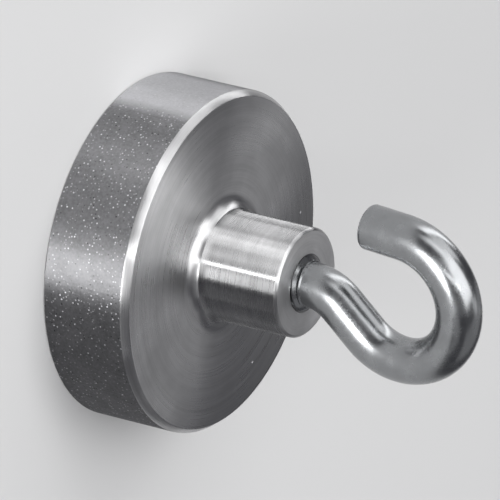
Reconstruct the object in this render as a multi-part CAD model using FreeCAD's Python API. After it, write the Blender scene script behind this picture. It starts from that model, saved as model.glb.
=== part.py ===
import FreeCAD, Part
import math
import os

# Pot magnet with a screw hook, in millimetres, +Z up.
# The origin is the centre of the holding face. The pot stands on that face, the threaded
# boss and the hook point up, and the hook lies in the XZ plane with its mouth towards +X.

# Steel pot, turned in one piece: a cup for the magnet with a threaded boss on its back
pot_diameter = 25.0
pot_height = 7.0
pot_wall = 2.5
rim_chamfer_width = 0.4
rim_chamfer_length = 0.55
holding_edge_break = 0.1
pocket_corner_radius = 0.2
boss_diameter = 8.0
boss_height = 7.0
boss_root_radius = 1.2
boss_end_chamfer = 0.2

# Magnet disc in its resin, flush with the rim of the pot
magnet_thickness = 4.0
magnet_edge_chamfer = 0.2
glue_line = 0.05
resin_width = 1.0
resin_recess = 0.1
resin_clearance = 0.02

# Metric thread of boss and hook, drawn as plain cylinders at its pitch diameter
thread_diameter = 4.0
thread_pitch = 0.7
thread_clearance = 0.03
countersink_width = 0.5
countersink_angle = 90.0
hole_floor = 1.4
drill_point_angle = 118.0

# Screw hook, bent from one round wire
wire_diameter = 3.3
shank_end_gap = 0.5
shank_end_chamfer = 0.4
thread_standout = 0.3
thread_runout = 0.2
neck_bend_radius = 3.5
neck_straight = 2.7
eye_offset = 0.4
eye_back_radius = 4.55
eye_back_turn = 96.0
eye_front_radius = 4.85
tip_lean = 4.5
tip_length = 2.9
tip_edge_radius = 0.35

# The pitch diameter of a metric thread is its size less this many pitches
pitch_diameter_factor = 0.6495

pot_radius = pot_diameter / 2
pocket_radius = pot_radius - pot_wall
pocket_depth = magnet_thickness + glue_line
magnet_radius = pocket_radius - resin_width
boss_radius = boss_diameter / 2
boss_end = pot_height + boss_height
shank_radius = (thread_diameter - pitch_diameter_factor * thread_pitch) / 2
hole_radius = shank_radius + thread_clearance
wire_radius = wire_diameter / 2


def point(x, z):
    return FreeCAD.Vector(x, 0, z)


def line(start, end):
    return Part.LineSegment(start, end).toShape()


def quarter_arc(start, end, centre):
    """Quarter circle from start to end, in the XZ plane."""
    radius = (start - centre).Length
    outward = (start + end - centre * 2).normalize()
    return Part.Arc(start, centre + outward * radius, end).toShape()


def turned(edges):
    """Solid of revolution about Z from a closed half section."""
    return Part.Face(Part.Wire(edges)).revolve(point(0, 0), point(0, 1), 360)


def turned_outline(corners):
    closed = corners + corners[:1]
    return turned([line(start, end) for start, end in zip(closed, closed[1:])])


def pot_body():
    """Outside of cup and boss: straight walls, a chamfered rim and a filleted boss root."""
    root_start = point(boss_radius + boss_root_radius, pot_height)
    root_end = point(boss_radius, pot_height + boss_root_radius)
    root_centre = point(boss_radius + boss_root_radius, pot_height + boss_root_radius)
    outside = [
        point(0, 0),
        point(pot_radius - holding_edge_break, 0),
        point(pot_radius, holding_edge_break),
        point(pot_radius, pot_height - rim_chamfer_length),
        point(pot_radius - rim_chamfer_width, pot_height),
        root_start,
    ]
    boss = [
        root_end,
        point(boss_radius, boss_end - boss_end_chamfer),
        point(boss_radius - boss_end_chamfer, boss_end),
        point(0, boss_end),
        point(0, 0),
    ]
    edges = [line(start, end) for start, end in zip(outside, outside[1:])]
    edges.append(quarter_arc(root_start, root_end, root_centre))
    edges += [line(start, end) for start, end in zip(boss, boss[1:])]
    return turned(edges)


def magnet_pocket():
    """Flat-bottomed recess with the corner radius that the boring tool leaves."""
    corner_start = point(pocket_radius, pocket_depth - pocket_corner_radius)
    corner_end = point(pocket_radius - pocket_corner_radius, pocket_depth)
    corner_centre = point(corner_end.x, corner_start.z)
    return turned([
        line(point(0, 0), point(pocket_radius, 0)),
        line(point(pocket_radius, 0), corner_start),
        quarter_arc(corner_start, corner_end, corner_centre),
        line(corner_end, point(0, pocket_depth)),
        line(point(0, pocket_depth), point(0, 0)),
    ])


def hole_bottom():
    """Height where the full diameter of the drilled hole ends, above its drill point."""
    drill_point = hole_radius / math.tan(math.radians(drill_point_angle / 2))
    return pocket_depth + hole_floor + drill_point


def boss_hole():
    """Blind threaded hole with a drill point below and a countersink at the mouth."""
    countersink_depth = countersink_width / math.tan(math.radians(countersink_angle / 2))
    return turned_outline([
        point(0, pocket_depth + hole_floor),
        point(hole_radius, hole_bottom()),
        point(hole_radius, boss_end - countersink_depth),
        point(hole_radius + countersink_width, boss_end),
        point(0, boss_end),
    ])


def steel_pot():
    return pot_body().cut(magnet_pocket()).cut(boss_hole())


def magnet_disc():
    disc = Part.makeCylinder(magnet_radius, magnet_thickness)
    rims = [edge for edge in disc.Edges if isinstance(edge.Curve, Part.Circle)]
    return disc.makeChamfer(magnet_edge_chamfer, rims)


def resin_ring():
    """Cast resin between magnet and pot wall, a little below the ground rim."""
    top = pocket_depth - pocket_corner_radius - resin_clearance
    inner = magnet_radius + resin_clearance
    outer = pocket_radius - resin_clearance
    return turned_outline([
        point(inner, resin_recess),
        point(outer, resin_recess),
        point(outer, top),
        point(inner, top),
    ])


class BentWire:
    """Centreline of straight runs and tangent arcs, drawn from one end in the XZ plane."""

    def __init__(self, start):
        self.place = start
        self.heading = 0.0
        self.edges = []

    def along(self, distance, turn=0.0):
        """Point at a distance from the wire's end, in its heading plus a turn to +X."""
        angle = math.radians(self.heading + turn)
        return self.place + point(distance * math.sin(angle), distance * math.cos(angle))

    def straight(self, length):
        end = self.along(length)
        self.edges.append(line(self.place, end))
        self.place = end

    def bend(self, radius, turn):
        """Arc that turns the wire by an angle in degrees, towards +X when positive."""
        half = math.radians(abs(turn) / 2)
        middle = self.along(2 * radius * math.sin(half / 2), turn / 4)
        end = self.along(2 * radius * math.sin(half), turn / 2)
        self.edges.append(Part.Arc(self.place, middle, end).toShape())
        self.place = end
        self.heading += turn


def neck_turn():
    """Sideways bend that brings the eye's centre to its offset from the shank's axis."""
    across = neck_bend_radius + eye_offset
    both_radii = neck_bend_radius + eye_back_radius
    centres = math.hypot(neck_straight, both_radii)
    return math.degrees(math.asin(both_radii / centres) - math.asin(across / centres))


def hook_wire(start_height):
    """Neck, open eye and tip, swept from the top of the thread to the cut end."""
    path = BentWire(point(0, start_height))
    path.bend(neck_bend_radius, -neck_turn())
    path.straight(neck_straight)
    path.bend(eye_back_radius, eye_back_turn)
    path.bend(eye_front_radius, 180 - tip_lean - path.heading)
    path.straight(tip_length)
    section = Part.Circle(point(0, start_height), point(0, 1), wire_radius).toShape()
    swept = Part.Wire(path.edges).makePipeShell([Part.Wire([section])], True, True)
    tip = [edge for edge in swept.Edges if (edge.CenterOfMass - path.place).Length < wire_radius / 10]
    return swept.makeFillet(tip_edge_radius, tip)


def screw_hook():
    """One bent wire whose foot is the screw, standing a little proud of the boss."""
    foot = hole_bottom() + shank_end_gap
    thread_top = boss_end + thread_standout
    wire_start = thread_top + thread_runout
    shank = turned_outline([
        point(0, foot),
        point(shank_radius - shank_end_chamfer, foot),
        point(shank_radius, foot + shank_end_chamfer),
        point(shank_radius, thread_top),
        point(wire_radius, wire_start),
        point(0, wire_start),
    ])
    return shank.fuse(hook_wire(wire_start)).removeSplitter()


def save(name, shape):
    solid = shape.Solids[0]
    solid.exportStep(os.path.join("parts", name + ".step"))
    print(f"{name}: {solid.Volume:.2f} cubic mm, valid {solid.isValid()}, solids {len(shape.Solids)}")


os.makedirs("parts", exist_ok=True)
save("steel_pot", steel_pot())
save("magnet_disc", magnet_disc())
save("resin_ring", resin_ring())
save("screw_hook", screw_hook())
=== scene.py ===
import math

import bmesh
import bpy
from mathutils import Euler, Matrix, Vector


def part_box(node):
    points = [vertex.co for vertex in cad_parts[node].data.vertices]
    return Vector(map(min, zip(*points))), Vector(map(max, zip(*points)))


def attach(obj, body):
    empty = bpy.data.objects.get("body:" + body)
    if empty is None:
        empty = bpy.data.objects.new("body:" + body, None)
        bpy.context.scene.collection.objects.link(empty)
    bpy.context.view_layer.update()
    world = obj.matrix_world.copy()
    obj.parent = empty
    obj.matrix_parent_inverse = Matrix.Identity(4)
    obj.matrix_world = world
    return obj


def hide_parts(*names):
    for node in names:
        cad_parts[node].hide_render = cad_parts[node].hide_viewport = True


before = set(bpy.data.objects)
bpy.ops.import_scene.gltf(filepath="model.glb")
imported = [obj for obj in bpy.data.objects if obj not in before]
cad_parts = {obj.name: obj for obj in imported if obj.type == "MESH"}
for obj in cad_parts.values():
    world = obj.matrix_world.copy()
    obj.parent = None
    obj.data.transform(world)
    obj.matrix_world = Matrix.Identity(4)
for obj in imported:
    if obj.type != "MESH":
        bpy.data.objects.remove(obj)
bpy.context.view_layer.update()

mm = 0.001


# Steel pot: one turned piece, a shallow cup for the magnet with a threaded boss on its back.
# It starts as a disc, the boss is drawn up from its back, and the pocket and the hole are sunk
# into its two ends. The root of the boss keeps the radius of the turning tool.
pot_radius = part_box("steel_pot")[1].x
boss_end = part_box("steel_pot")[1].z
pot_height = 7.0 * mm
boss_radius = 4.0 * mm
boss_root_radius = 1.2 * mm
boss_end_chamfer = 0.2 * mm
rim_chamfer_width = 0.4 * mm
rim_chamfer_length = 0.55 * mm
holding_edge_break = 0.1 * mm
pocket_radius = 10.0 * mm
pocket_depth = 4.05 * mm
pocket_corner_radius = 0.2 * mm
edge_softness = 0.03 * mm
countersink_radius = 2.15 * mm
drill_radius = 1.65 * mm
hole_bottom = 6.6 * mm
drill_point = 1.0 * mm
pot_sides = 256
root_steps = 12
pocket_corner_steps = 4
height_tolerance = 0.001 * mm
ring_tolerance = 0.01 * mm


def pick(kind, test):
    """Select the faces or edges of the piece in hand that pass a test, and nothing else."""
    bpy.ops.mesh.select_mode(type=kind)
    bpy.ops.mesh.select_all(action="DESELECT")
    mesh = bmesh.from_edit_mesh(bpy.context.object.data)
    for part in mesh.faces if kind == "FACE" else mesh.edges:
        part.select_set(test(part))
    mesh.select_flush_mode()
    bmesh.update_edit_mesh(bpy.context.object.data)


def flat_face(height, up):
    """Test for a flat end face at a height that looks up or down."""
    def is_flat(face):
        at_height = abs(face.calc_center_median().z - height) < height_tolerance
        return at_height and face.normal.z * up > 0.99
    return is_flat


def end_disc(height, up):
    """Test for the many-sided disc at a height, without the four-sided faces of a ring round it."""
    is_flat = flat_face(height, up)
    return lambda face: is_flat(face) and len(face.verts) > 4


def ring(radius, height):
    """Test for the edges of a circle about the axis."""
    def near_ring(vert):
        return abs(vert.co.xy.length - radius) < ring_tolerance and abs(vert.co.z - height) < ring_tolerance
    return lambda edge: all(near_ring(vert) for vert in edge.verts)


def raise_by(height):
    bpy.ops.transform.translate(value=(0, 0, height))


def draw_out(height):
    bpy.ops.mesh.extrude_region_move(TRANSFORM_OT_translate={"value": (0, 0, height)})


def in_edit_mode(piece):
    bpy.ops.object.select_all(action="DESELECT")
    piece.select_set(True)
    bpy.context.view_layer.objects.active = piece
    bpy.ops.object.mode_set(mode="EDIT")


def finish_modifier(piece, kind, **settings):
    """Add a modifier to a piece and apply it."""
    bpy.ops.object.select_all(action="DESELECT")
    piece.select_set(True)
    bpy.context.view_layer.objects.active = piece
    modifier = piece.modifiers.new(kind.lower(), kind)
    for name, value in settings.items():
        setattr(modifier, name, value)
    bpy.ops.object.modifier_apply(modifier=modifier.name)


bpy.ops.object.select_all(action="DESELECT")
bpy.ops.mesh.primitive_cylinder_add(vertices=pot_sides, radius=pot_radius, depth=pot_height,
                                    location=(0, 0, pot_height / 2))
turned_pot = bpy.context.object
turned_pot.name = "turned_pot"
bpy.ops.object.transform_apply(location=True)
bpy.ops.object.mode_set(mode="EDIT")

pick("FACE", flat_face(pot_height, 1))
bpy.ops.mesh.inset(thickness=rim_chamfer_width)
pick("EDGE", ring(pot_radius, pot_height))
raise_by(-rim_chamfer_length)
pick("FACE", end_disc(pot_height, 1))
bpy.ops.mesh.inset(thickness=pot_radius - rim_chamfer_width - boss_radius)
draw_out(boss_end - pot_height)
pick("EDGE", ring(boss_radius, pot_height))
bpy.ops.mesh.bevel(offset=boss_root_radius, segments=root_steps, affect="EDGES")
pick("EDGE", ring(boss_radius, boss_end))
bpy.ops.mesh.bevel(offset=boss_end_chamfer, segments=1, affect="EDGES")

pick("FACE", flat_face(boss_end, 1))
bpy.ops.mesh.inset(thickness=boss_radius - boss_end_chamfer - countersink_radius)
bpy.ops.mesh.inset(thickness=countersink_radius - drill_radius)
raise_by(drill_radius - countersink_radius)
draw_out(hole_bottom - boss_end - drill_radius + countersink_radius)
draw_out(-drill_point)
bpy.ops.mesh.merge(type="CENTER")

pick("FACE", flat_face(0, -1))
bpy.ops.mesh.inset(thickness=holding_edge_break)
pick("EDGE", ring(pot_radius, 0))
raise_by(holding_edge_break)
pick("FACE", end_disc(0, -1))
bpy.ops.mesh.inset(thickness=pot_radius - holding_edge_break - pocket_radius)
draw_out(pocket_depth)
pick("EDGE", ring(pocket_radius, pocket_depth))
bpy.ops.mesh.bevel(offset=pocket_corner_radius, segments=pocket_corner_steps, affect="EDGES")
bpy.ops.object.mode_set(mode="OBJECT")
finish_modifier(turned_pot, "BEVEL", width=edge_softness, segments=2, limit_method="ANGLE",
                angle_limit=math.radians(25))

# Thread in the boss: a right-hand metric thread, cut into the hole with a tap. The tap is one
# pitch of thread profile, screwed up the axis and cut off flat above and below.
pitch = 0.7 * mm
crest_height_at_x = 13.88 * mm
crest_flat = pitch / 8
root_flat = pitch / 6
flank_height = (pitch - crest_flat - root_flat) / 2
steps_per_turn = 96
spare_turns = 1
tap_root_radius = 1.62 * mm
tap_crest_radius = 2.03 * mm
tap_bottom = hole_bottom + 0.5 * mm
tap_top = boss_end + 0.3 * mm
weld_distance = 0.001 * mm
cut_tolerance = 0.0001 * mm
sliver_width = 0.0005 * mm


def threaded_rod(name, root, crest, low, high):
    """Rod with the right-hand thread between two heights, in step with every other such rod."""
    turns_below = math.ceil((crest_height_at_x - low) / pitch) + spare_turns
    turns = math.ceil((high - low) / pitch) + 2 * spare_turns + 1
    start = crest_height_at_x - turns_below * pitch - pitch / 2
    bpy.ops.object.select_all(action="DESELECT")
    bpy.ops.mesh.primitive_plane_add(size=mm, location=(root, 0, start))
    rod = bpy.context.object
    rod.name = name
    bpy.ops.object.transform_apply(location=True)
    bpy.ops.object.mode_set(mode="EDIT")
    bpy.ops.mesh.select_mode(type="VERT")
    bpy.ops.mesh.select_all(action="SELECT")
    bpy.ops.mesh.merge(type="CENTER")
    depth = crest - root
    half_root = (0, root_flat / 2)
    profile = (half_root, (depth, flank_height), (0, crest_flat), (-depth, flank_height), half_root)
    for across, up in profile:
        bpy.ops.mesh.extrude_vertices_move(TRANSFORM_OT_translate={"value": (across, 0, up)})
    bpy.ops.object.mode_set(mode="OBJECT")
    finish_modifier(rod, "SCREW", angle=2 * math.pi, screw_offset=pitch, iterations=turns,
                    steps=steps_per_turn, render_steps=steps_per_turn)
    in_edit_mode(rod)
    bpy.ops.mesh.select_all(action="SELECT")
    bpy.ops.mesh.remove_doubles(threshold=weld_distance)
    for height, side in ((low, {"clear_inner": True}), (high, {"clear_outer": True})):
        bpy.ops.mesh.select_all(action="SELECT")
        bpy.ops.mesh.bisect(plane_co=(0, 0, height), plane_no=(0, 0, 1), use_fill=True,
                            threshold=cut_tolerance, **side)
    bpy.ops.mesh.select_all(action="SELECT")
    bpy.ops.mesh.normals_make_consistent(inside=False)
    bpy.ops.object.mode_set(mode="OBJECT")
    return rod


def join_by(piece, operation, other):
    """Cut, intersect or unite a piece with another, which is used up, and close hairline slivers."""
    finish_modifier(piece, "BOOLEAN", operation=operation, object=other, solver="EXACT")
    bpy.data.objects.remove(other)
    in_edit_mode(piece)
    bpy.ops.mesh.select_mode(type="VERT")
    bpy.ops.mesh.select_all(action="SELECT")
    bpy.ops.mesh.remove_doubles(threshold=sliver_width)
    bpy.ops.mesh.dissolve_degenerate(threshold=sliver_width)
    bpy.ops.object.mode_set(mode="OBJECT")


tap = threaded_rod("tap", tap_root_radius, tap_crest_radius, tap_bottom, tap_top)
join_by(turned_pot, "DIFFERENCE", tap)
bpy.ops.object.shade_smooth_by_angle(angle=math.radians(28))

# Finishes of the pot: bright turned steel with concentric tool marks, broad smears and a few
# nicks on back, boss and chamfers, and a darker side peppered with small blasting pits, whose
# light and dark specks are painted glints and painted shade. One stretch of the side, the one
# facing the lamps, is painted lighter as a painted highlight, and has fewer pits.
steel_tint = (1.0, 1.0, 1.01)
fine_grooves_per_mm = 9.0
broad_grooves_per_mm = 1.6
groove_contrast = 0.13
groove_sheen = 0.08
groove_relief = 0.0035 * mm
smears_per_mm = 0.22
smear_contrast = 0.16
smear_sheen = 0.10
nicks_per_mm = 0.45
nick_radius = 0.12 * mm
nick_tone = 0.80
nick_roughness = 0.7

side_tint = (1.0, 1.0, 1.03)
side_tone = 0.25
side_contrast = 0.2
side_roughness = 0.50
side_relief = 0.006 * mm
# Painted highlight: the stretch of the side that faces the lamps is made much lighter, and has fewer pits.
painted_highlight_tone = 0.58
painted_highlight_middle = (0.985, -0.174, 0)
painted_highlight_edge = (0.905, 0.945)
highlight_stretch_pitting = 0.3
# Pit specks: the light ones are painted glints, the dark ones painted shade in the hollows.
glinting_pits_per_mm = 3.6
pit_glint_tone = 0.95
shaded_pits_per_mm = 2.6
pit_shade_tone = side_tone * 0.25
pit_radius = 0.08 * mm


def node(tree, kind, inputs=None, output=0, **settings):
    """Add a shader node and return one of its outputs; an input is a value or another's output."""
    made = tree.nodes.new("ShaderNode" + kind)
    for name, value in settings.items():
        setattr(made, name, value)
    for socket, value in (inputs or {}).items():
        if isinstance(value, bpy.types.NodeSocket):
            tree.links.new(value, made.inputs[socket])
        else:
            made.inputs[socket].default_value = value
    return made.outputs[output]


def new_material(name, **shader):
    """Material with a Principled shader whose sockets are set to plain values."""
    material = bpy.data.materials.new(name)
    material.use_nodes = True
    principled = material.node_tree.nodes["Principled BSDF"]
    for socket, value in shader.items():
        principled.inputs[socket.replace("_", " ")].default_value = value
    return material, material.node_tree, principled


def feed(tree, principled, **outputs):
    """Link the outputs of other nodes to the shader's sockets."""
    for socket, output in outputs.items():
        tree.links.new(output, principled.inputs[socket.replace("_", " ")])


def math_node(tree, operation, *values):
    return node(tree, "Math", dict(enumerate(values)), operation=operation)


def vector_node(tree, operation, *vectors, output="Vector"):
    return node(tree, "VectorMath", dict(enumerate(vectors)), output=output, operation=operation)


def times(tree, vector, amount):
    """A colour or direction made larger or smaller by an amount."""
    return node(tree, "VectorMath", {0: vector, "Scale": amount}, operation="SCALE")


def mixed(tree, factor, plain, other):
    return node(tree, "Mix", {"Factor": factor, "A": plain, "B": other}, data_type="FLOAT")


def scaled_to(tree, value, low, high, new_low, new_high):
    limits = {"From Min": low, "From Max": high, "To Min": new_low, "To Max": new_high}
    return node(tree, "MapRange", {"Value": value, **limits})


def noise_to(tree, pattern, low, high):
    """A noise, most of which lies between 0.3 and 0.7, brought to other limits."""
    return scaled_to(tree, pattern, 0.3, 0.7, low, high)


def noise(tree, place, per_mm, detail):
    return node(tree, "TexNoise", {"Vector": place, "Scale": per_mm / mm, "Detail": detail})


def turning_space(tree):
    """A turned surface's place, its direction out from the axis, and millimetres across its grooves."""
    place = node(tree, "TexCoord", output="Object")
    flat = vector_node(tree, "MULTIPLY", place, (1, 1, 0))
    outward = vector_node(tree, "NORMALIZE", flat)
    radius = vector_node(tree, "LENGTH", flat, output="Value")
    height = node(tree, "SeparateXYZ", {0: place}, output="Z")
    across = math_node(tree, "MULTIPLY", math_node(tree, "SUBTRACT", radius, height), 1 / mm)
    return place, outward, across


def groove_noise(tree, outward, across, per_mm, around):
    """Noise that runs in arcs round the axis, so many per millimetre across them."""
    scaled = math_node(tree, "MULTIPLY", across, per_mm)
    turn = times(tree, outward, around)
    x = node(tree, "SeparateXYZ", {0: turn}, output="X")
    y = node(tree, "SeparateXYZ", {0: turn}, output="Y")
    place = node(tree, "CombineXYZ", {0: scaled, 1: x, 2: y})
    return node(tree, "TexNoise", {"Vector": place, "Scale": 1.0, "Detail": 2.0, "Roughness": 0.6})


def groove_tangent(tree, outward):
    """Direction across the grooves, along which they spread the light."""
    around = vector_node(tree, "CROSS_PRODUCT", (0, 0, 1), outward)
    return vector_node(tree, "CROSS_PRODUCT", around, node(tree, "NewGeometry", output="Normal"))


def flank_normal(tree, outward, out, up):
    """Normal of the long flanks of the grooves, which lean outward or upward by these slopes."""
    lean = vector_node(tree, "ADD", times(tree, outward, out), (0, 0, up))
    normal = vector_node(tree, "ADD", node(tree, "NewGeometry", output="Normal"), lean)
    return vector_node(tree, "NORMALIZE", normal)


def dots(tree, place, per_mm, radius, seed):
    """Scattered round specks of uneven strength, 0 between them and at most 1 at their middle."""
    moved = vector_node(tree, "ADD", place, (seed, seed, seed))
    cells = {"Vector": moved, "Scale": per_mm / mm, "Randomness": 1.0}
    distance = node(tree, "TexVoronoi", cells, output="Distance")
    colour = node(tree, "TexVoronoi", cells, output="Color")
    strength = node(tree, "SeparateXYZ", {0: colour}, output="X")
    reach = radius * per_mm / mm
    speck = scaled_to(tree, distance, reach, reach * 0.4, 0.0, 1.0)
    return math_node(tree, "MULTIPLY", speck, strength)


def turned_finish(name, tone, roughness, anisotropy, out=0.0, up=0.0):
    material, tree, principled = new_material(name, Metallic=1.0, Anisotropic=anisotropy)
    place, outward, across = turning_space(tree)
    fine = groove_noise(tree, outward, across, fine_grooves_per_mm, 0.8)
    broad = groove_noise(tree, outward, across, broad_grooves_per_mm, 1.2)
    marks = math_node(tree, "MULTIPLY", math_node(tree, "ADD", fine, broad), 0.5)
    smears = noise(tree, place, smears_per_mm, 4.0)
    nicks = dots(tree, place, nicks_per_mm, nick_radius, 0.7)
    shade = noise_to(tree, marks, tone * (1 - groove_contrast), tone * (1 + groove_contrast))
    smear = noise_to(tree, smears, 1 - smear_contrast, 1 + smear_contrast)
    shade = mixed(tree, nicks, math_node(tree, "MULTIPLY", shade, smear), nick_tone)
    rough = noise_to(tree, fine, roughness * (1 - groove_sheen), roughness * (1 + groove_sheen))
    smear = noise_to(tree, smears, 1 + smear_sheen, 1 - smear_sheen)
    rough = mixed(tree, nicks, math_node(tree, "MULTIPLY", rough, smear), nick_roughness)
    relief = node(tree, "Bump", {"Height": marks, "Distance": groove_relief,
                                 "Normal": flank_normal(tree, outward, out, up)})
    feed(tree, principled, Base_Color=times(tree, steel_tint, shade), Roughness=rough, Normal=relief,
         Tangent=groove_tangent(tree, outward))
    return material


def blasted_finish(name, up):
    material, tree, principled = new_material(name, Metallic=1.0, Anisotropic=1.0)
    place, outward, across = turning_space(tree)
    towards_painted_highlight = vector_node(tree, "DOT_PRODUCT", outward, painted_highlight_middle, output="Value")
    painted_highlight = scaled_to(tree, towards_painted_highlight, *painted_highlight_edge, 0.0, 1.0)
    blasted = scaled_to(tree, towards_painted_highlight, *painted_highlight_edge, 1.0, highlight_stretch_pitting)
    # Painted glints on some pits, which are also rough and raised, and painted shade in the hollows of
    # others.
    glinting_pits = math_node(tree, "MULTIPLY", blasted, dots(tree, place, glinting_pits_per_mm, pit_radius, 0.0))
    shaded_pits = math_node(tree, "MULTIPLY", blasted, dots(tree, place, shaded_pits_per_mm, pit_radius, 0.4))
    grain = math_node(tree, "MULTIPLY", noise(tree, place, 5.0, 2.0), 0.6)
    cloud = math_node(tree, "MULTIPLY", noise(tree, place, 0.7, 3.0), 0.4)
    mottle = math_node(tree, "ADD", grain, cloud)
    skin = noise_to(tree, mottle, side_tone * (1 - side_contrast), side_tone * (1 + side_contrast))
    # Painted highlight: lighter skin on the stretch of the side facing the lamps.
    skin = math_node(tree, "MULTIPLY_ADD", painted_highlight, painted_highlight_tone - side_tone, skin)
    skin = mixed(tree, shaded_pits, skin, pit_shade_tone)
    skin = mixed(tree, glinting_pits, skin, pit_glint_tone)
    rough = mixed(tree, glinting_pits, side_roughness, 1.0)
    height = math_node(tree, "ADD", math_node(tree, "MULTIPLY", glinting_pits, 0.6), mottle)
    relief = node(tree, "Bump", {"Height": height, "Distance": side_relief,
                                 "Normal": flank_normal(tree, outward, 0.0, up)})
    feed(tree, principled, Base_Color=times(tree, side_tint, skin), Roughness=rough, Normal=relief,
         Tangent=groove_tangent(tree, outward))
    return material


finishes = {
    "back": turned_finish("turned_back", 0.50, 0.29, 0.6, out=0.18),
    "boss": turned_finish("turned_boss", 0.35, 0.27, 1.0, up=0.7),
    "side": blasted_finish("blasted_side", up=0.35),
    "chamfer": turned_finish("turned_chamfer", 0.46, 0.30, 0.8),
    "boss_face": turned_finish("boss_face", 0.54, 0.46, 0.3),
}
boss_chamfer_radius = boss_radius - boss_end_chamfer
boss_chamfer_height = boss_end - boss_end_chamfer
boss_finish_radius = boss_radius + boss_root_radius * 0.12
boss_finish_height = pot_height + 0.1 * mm
side_depth = 0.06 * mm


def finish_of(face):
    """Which finish a face of the pot has, by its place and by how far it looks up."""
    radius, height, rise = face.center.xy.length, face.center.z, face.normal.z
    if radius > pot_radius - side_depth and abs(rise) < 0.4:
        return "side"
    on_rim = radius > pot_radius - rim_chamfer_width
    on_boss_edge = radius > boss_chamfer_radius and height > boss_chamfer_height
    if 0.4 <= rise < 0.99 and (on_rim or on_boss_edge):
        return "chamfer"
    if countersink_radius < radius < boss_chamfer_radius and height > boss_end - ring_tolerance:
        return "boss_face"
    if radius < boss_finish_radius and height > boss_finish_height:
        return "boss"
    return "back"


turned_pot.data.materials.clear()
for finish in finishes.values():
    turned_pot.data.materials.append(finish)
for face in turned_pot.data.polygons:
    face.material_index = list(finishes).index(finish_of(face))
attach(turned_pot, "root")
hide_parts("steel_pot")


# Magnet disc: sintered and nickel plated, glued in the pocket flush with the rim of the pot.
# The solid has its true form already, so it only gets its bright, lightly scuffed plating.
nickel_colour = (0.66, 0.64, 0.60)
nickel_relief = 0.001 * mm
nickel, tree, principled = new_material("nickel_plating", Metallic=1.0)
place = node(tree, "TexCoord", output="Object")
scuffs = noise(tree, place, 2.5, 5.0)
feed(tree, principled, Base_Color=times(tree, nickel_colour, noise_to(tree, scuffs, 0.97, 1.03)),
     Roughness=noise_to(tree, scuffs, 0.22, 0.30),
     Normal=node(tree, "Bump", {"Height": scuffs, "Distance": nickel_relief}))
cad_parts["magnet_disc"].data.materials.clear()
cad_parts["magnet_disc"].data.materials.append(nickel)


# Resin ring: black resin cast round the magnet, which shrinks a little below the rim.
# The solid has its true form, so it only gets the slightly uneven skin of cast resin.
resin_colour = (0.030, 0.030, 0.033)
resin_relief = 0.02 * mm
resin, tree, principled = new_material("resin_skin", IOR=1.55)
place = node(tree, "TexCoord", output="Object")
ripple = noise(tree, place, 1.5, 3.0)
feed(tree, principled, Base_Color=times(tree, resin_colour, noise_to(tree, ripple, 0.8, 1.4)),
     Roughness=noise_to(tree, ripple, 0.28, 0.5),
     Normal=node(tree, "Bump", {"Height": ripple, "Distance": resin_relief}))
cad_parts["resin_ring"].data.materials.clear()
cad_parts["resin_ring"].data.materials.append(resin)


# Screw hook: one zinc-plated wire, its foot rolled to the thread, bent sideways at the neck and
# round to an open eye, then cut off square. The wire's round section is drawn along its bends.
wire_radius = 1.65 * mm
wire_start = 14.5 * mm
neck_bend_radius = 3.5 * mm
neck_turn = 44.1
neck_straight = 2.7 * mm
eye_back_radius = 4.55 * mm
eye_back_turn = 96.0
eye_front_radius = 4.85 * mm
tip_lean = 4.5
tip_length = 2.9 * mm
tip_edge_radius = 0.35 * mm
wire_sides = 72
degrees_per_step = 2.5
shoulder_radius = 1.76 * mm
shoulder_height = 14.38 * mm
shoulder_land = 0.04 * mm
thread_root_radius = 1.57 * mm
thread_crest_radius = 2.0 * mm
thread_foot = 7.1 * mm
foot_chamfer = 0.4 * mm
runout_start = 14.12 * mm
runout_end = 14.46 * mm
runout_taper = 0.85
blank_radius = thread_crest_radius + 0.001 * mm


class WireEnd:
    """Where the growing end of the wire is, and its heading in degrees from +Z towards +X."""
    place = Vector((0, 0, wire_start))
    heading = 0.0


def straight_run(length):
    angle = math.radians(WireEnd.heading)
    step = Vector((length * math.sin(angle), 0, length * math.cos(angle)))
    bpy.ops.mesh.extrude_region_move(TRANSFORM_OT_translate={"value": step})
    WireEnd.place = WireEnd.place + step


def bend(radius, turn):
    """Draw the wire's end round an arc that turns it towards +X when positive."""
    angle = math.radians(WireEnd.heading)
    side = math.copysign(radius, turn)
    centre = WireEnd.place + Vector((side * math.cos(angle), 0, -side * math.sin(angle)))
    bpy.ops.mesh.spin(steps=round(abs(turn) / degrees_per_step), angle=-math.radians(turn),
                      center=centre, axis=(0, 1, 0))
    WireEnd.place = centre + Matrix.Rotation(math.radians(turn), 3, "Y") @ (WireEnd.place - centre)
    WireEnd.heading += turn


def narrow_by(taper):
    bpy.ops.transform.resize(value=(taper, taper, 1))


bpy.ops.object.select_all(action="DESELECT")
bpy.ops.mesh.primitive_circle_add(vertices=wire_sides, radius=shoulder_radius,
                                  location=(0, 0, shoulder_height))
bent_hook = bpy.context.object
bent_hook.name = "bent_hook"
bpy.ops.object.transform_apply(location=True)
bpy.ops.object.mode_set(mode="EDIT")
draw_out(shoulder_land)
draw_out(wire_start - shoulder_height - shoulder_land)
narrow_by(wire_radius / shoulder_radius)
bend(neck_bend_radius, -neck_turn)
straight_run(neck_straight)
bend(eye_back_radius, eye_back_turn)
bend(eye_front_radius, 180 - tip_lean - WireEnd.heading)
straight_run(tip_length)
bpy.ops.mesh.edge_face_add()
bpy.ops.mesh.bevel(offset=tip_edge_radius, segments=6, affect="EDGES")
pick("EDGE", ring(shoulder_radius, shoulder_height))
bpy.ops.mesh.edge_face_add()
bpy.ops.mesh.select_all(action="SELECT")
bpy.ops.mesh.normals_make_consistent(inside=False)
bpy.ops.object.mode_set(mode="OBJECT")

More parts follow.
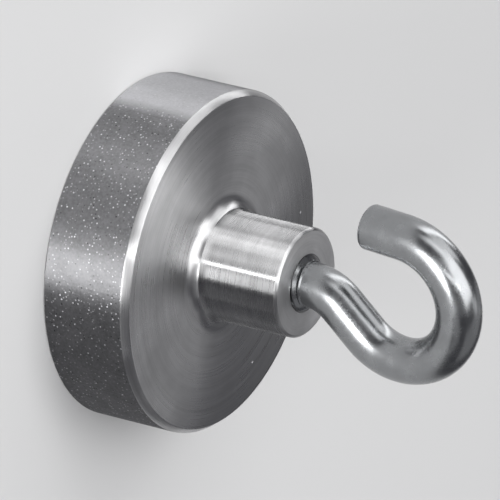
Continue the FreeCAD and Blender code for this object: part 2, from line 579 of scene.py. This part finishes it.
bpy.ops.object.select_all(action="DESELECT")
bpy.ops.mesh.primitive_cylinder_add(vertices=steps_per_turn, radius=blank_radius,
                                    depth=runout_start - thread_foot,
                                    location=(0, 0, (runout_start + thread_foot) / 2))
blank = bpy.context.object
bpy.ops.object.transform_apply(location=True)
bpy.ops.object.mode_set(mode="EDIT")
pick("FACE", flat_face(runout_start, 1))
draw_out(runout_end - runout_start)
narrow_by(runout_taper)
pick("EDGE", ring(thread_crest_radius, thread_foot))
bpy.ops.mesh.bevel(offset=foot_chamfer, segments=1, affect="EDGES")
bpy.ops.object.mode_set(mode="OBJECT")
screw = threaded_rod("screw", thread_root_radius, thread_crest_radius, thread_foot - pitch,
                     runout_end + pitch)
join_by(screw, "INTERSECT", blank)
join_by(bent_hook, "UNION", screw)
bpy.ops.object.shade_smooth_by_angle(angle=math.radians(32))

zinc_colour = (0.312, 0.320, 0.328)
zinc_relief = 0.003 * mm
zinc, tree, principled = new_material("zinc_plating", Metallic=1.0)
place = node(tree, "TexCoord", output="Object")
mottle = node(tree, "TexNoise", {"Vector": place, "Scale": 0.9 / mm, "Detail": 5.0, "Roughness": 0.55})
feed(tree, principled, Base_Color=times(tree, zinc_colour, noise_to(tree, mottle, 0.92, 1.08)),
     Roughness=noise_to(tree, mottle, 0.22, 0.30),
     Normal=node(tree, "Bump", {"Height": mottle, "Distance": zinc_relief}))
bent_hook.data.materials.clear()
bent_hook.data.materials.append(zinc)
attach(bent_hook, "root")
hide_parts("screw_hook")


# Studio: a plain pale floor just under the magnet, soft lamps round it, and the camera where the
# photograph was taken from, rolled so that the hook points to the right of the picture. A lamp's
# place and spread are in degrees as seen from the object, so its size follows its distance.
floor_colour = (0.64, 0.64, 0.64, 1)
floor_size = 2.4
floor_height = -0.01 * mm
world_colour = (0.09, 0.09, 0.10, 1)
lamp_distance = 0.8
lamps = {
    "overhead": {"azimuth": 14, "elevation": 70, "spread": (52, 50), "radiance": 2.8},
    "overhead_wing": {"azimuth": -111, "elevation": 60, "spread": (15, 24), "radiance": 0.8},
    "window": {"azimuth": -22, "elevation": 30, "spread": (56, 28), "radiance": 1.55},
    "front_window": {"azimuth": 14, "elevation": 28, "spread": (18, 36), "radiance": 1.7},
    "side_window": {"azimuth": -47, "elevation": 6, "spread": (60, 11), "radiance": 3.7},
    "strip": {"azimuth": 68, "elevation": 44, "spread": (3, 38), "radiance": 11.0},
    "low_strip": {"azimuth": 85, "elevation": 6, "spread": (22, 11), "radiance": 33.0},
    "far_fill": {"azimuth": 124, "elevation": 18, "spread": (26, 26), "radiance": 0.25},
    "back_fill": {"azimuth": -150, "elevation": 44, "spread": (70, 40), "radiance": 0.26},
    "back_edge": {"azimuth": -106, "elevation": 22, "spread": (18, 30), "radiance": 0.30},
}

bpy.ops.mesh.primitive_plane_add(size=floor_size, location=(0, 0, floor_height))
floor = bpy.context.object
floor.name = "floor"
paper, tree, principled = new_material("floor_paper", Roughness=0.9, Base_Color=floor_colour)
floor.data.materials.append(paper)

world = bpy.data.worlds.new("studio")
world.use_nodes = True
world.node_tree.nodes["Background"].inputs["Color"].default_value = world_colour
bpy.context.scene.world = world


def direction(azimuth, elevation):
    """Unit vector to a place round the object, azimuth counted from +X towards +Y, in degrees."""
    turn, lift = math.radians(azimuth), math.radians(elevation)
    return Vector((math.cos(lift) * math.cos(turn), math.cos(lift) * math.sin(turn), math.sin(lift)))


for name, lamp in lamps.items():
    towards = direction(lamp["azimuth"], lamp["elevation"])
    bpy.ops.object.light_add(type="AREA", location=towards * lamp_distance)
    light = bpy.context.object
    light.name = name
    light.rotation_euler = towards.to_track_quat("Z", "Y").to_euler()
    light.data.shape = "RECTANGLE"
    wide, tall = [2 * lamp_distance * math.tan(math.radians(angle / 2)) for angle in lamp["spread"]]
    light.data.size, light.data.size_y = wide, tall
    light.data.energy = lamp["radiance"] * math.pi * wide * tall

camera_aim = Vector((-0.69, -4.03, 6.70)) * mm
camera_azimuth = 60.87
camera_elevation = 29.89
camera_roll = 103.52
camera_distance = 0.6
bpy.ops.object.camera_add()
camera = bpy.context.object
camera.data.lens = 604
camera.data.sensor_width = 36
back = direction(camera_azimuth, camera_elevation)
camera.location = camera_aim + back * camera_distance
upright = back.to_track_quat("Z", "Y")
camera.rotation_mode = "QUATERNION"
camera.rotation_quaternion = upright @ Euler((0, 0, math.radians(camera_roll))).to_quaternion()
bpy.context.scene.camera = camera
bpy.context.scene.view_settings.view_transform = "Standard"
